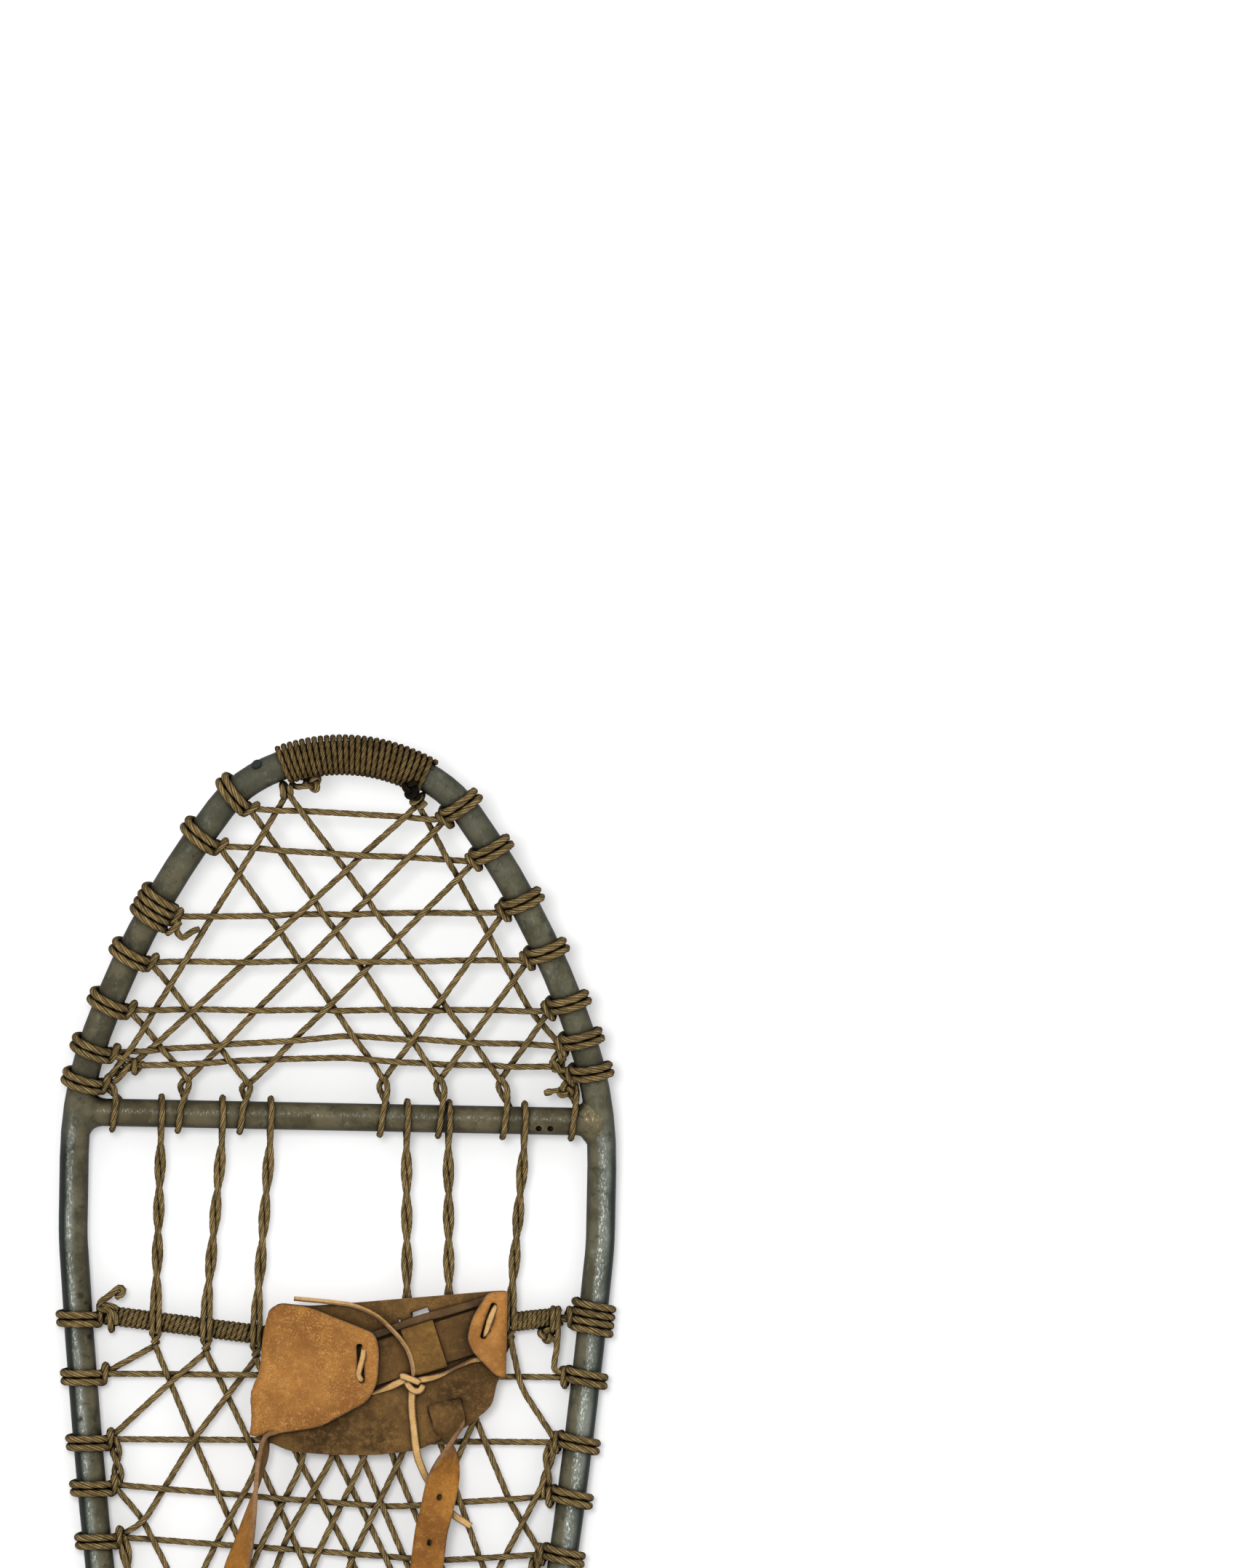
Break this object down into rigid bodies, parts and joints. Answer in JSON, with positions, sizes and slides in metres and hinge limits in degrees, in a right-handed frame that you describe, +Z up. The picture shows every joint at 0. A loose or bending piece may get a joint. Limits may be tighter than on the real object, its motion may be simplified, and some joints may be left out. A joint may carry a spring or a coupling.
{
  "type": "snowshoe",
  "caption": "Long tailed snowshoe of bent metal tube with a knotted cord net, a cross cord that the leather binding turns on, toe flaps laced over and heel straps with a buckle.",
  "frame": {"origin": "middle of the overall box, on the ground under the shoe", "axes": "+X right, +Y towards the raised toe, +Z up"},
  "size_m": [0.3081, 1.2252, 0.0656],
  "materials": {
    "frame_metal": "worn olive paint over grey metal",
    "weld": "rough bead",
    "bright_metal": "dull",
    "cord": "waxed laid cord",
    "sole_leather": "worn",
    "strap_leather": "smooth",
    "rawhide": "dry rawhide"
  },
  "bodies": {
    "frame": {"frame_left": "frame_metal", "frame_right": "frame_metal", "toe_splice_sleeve": "frame_metal", "splice_rivets": "bright_metal", "front_crossbar": "frame_metal", "front_crossbar_welds": "weld", "rear_crossbar": "frame_metal", "rear_crossbar_welds": "weld", "tail_rivets": "bright_metal", "tail_plugs": "frame_metal", "toe_wrap": "cord", "toe_hitches": "cord", "toe_rows": "cord", "toe_diagonals_left": "cord", "toe_diagonals_right": "cord", "toe_crossbar_loops": "cord", "toe_hole_cords_left": "cord", "toe_hole_cords_right": "cord", "master_cord_core": "cord", "master_cord_wrap_left": "cord", "master_cord_wrap_right": "cord", "master_cord_hitches": "cord", "foot_cord_loops": "cord", "foot_hitches": "cord", "foot_rows": "cord", "foot_diagonals_left": "cord", "foot_diagonals_right": "cord", "rear_crossbar_loops": "cord", "tail_hitches": "cord", "tail_rows": "cord", "tail_diagonals": "cord", "cord_knots": "cord"},
    "binding": {"binding_sole": "sole_leather", "pivot_loops": "strap_leather", "cross_band": "sole_leather", "band_keeper": "strap_leather", "toe_lace": "rawhide", "lace_end_front": "rawhide", "lace_end_rear": "rawhide", "heel_strap_right_root": "strap_leather", "heel_strap_left_root": "strap_leather"},
    "strap_right": {"heel_strap_right": "strap_leather"},
    "strap_left": {"heel_strap_left": "strap_leather", "buckle_chape": "strap_leather", "chape_rivets": "bright_metal", "strap_keeper": "strap_leather"},
    "buckle": {"buckle_frame": "bright_metal"},
    "prong": {"buckle_prong": "bright_metal"}
  },
  "joints": [
    {"name": "binding_pivot", "type": "hinge", "parent": "frame", "child": "binding", "pos_m": [0.025, 0.28585, 0.0118], "axis": [-0.9975, -0.0712, 0], "range_deg": [0, 50], "deforming": ["toe_hole_cords_right"]},
    {"name": "right_strap_lift", "type": "hinge", "parent": "binding", "child": "strap_right", "pos_m": [0.0598, 0.21821, 0.0241], "axis": [-0.9945, 0.1045, 0], "range_deg": [0, 90]},
    {"name": "left_strap_lift", "type": "hinge", "parent": "binding", "child": "strap_left", "pos_m": [-0.032, 0.21821, 0.02415], "axis": [-1, 0, 0], "range_deg": [0, 90]},
    {"name": "buckle_swing", "type": "hinge", "parent": "strap_left", "child": "buckle", "pos_m": [-0.05, 0.06751, 0.02255], "axis": [-1, 0, 0], "range_deg": [0, 60]},
    {"name": "prong_swing", "type": "hinge", "parent": "buckle", "child": "prong", "pos_m": [-0.05, 0.06751, 0.02255], "axis": [-1, 0, 0], "range_deg": [0, 40]}
  ]
}
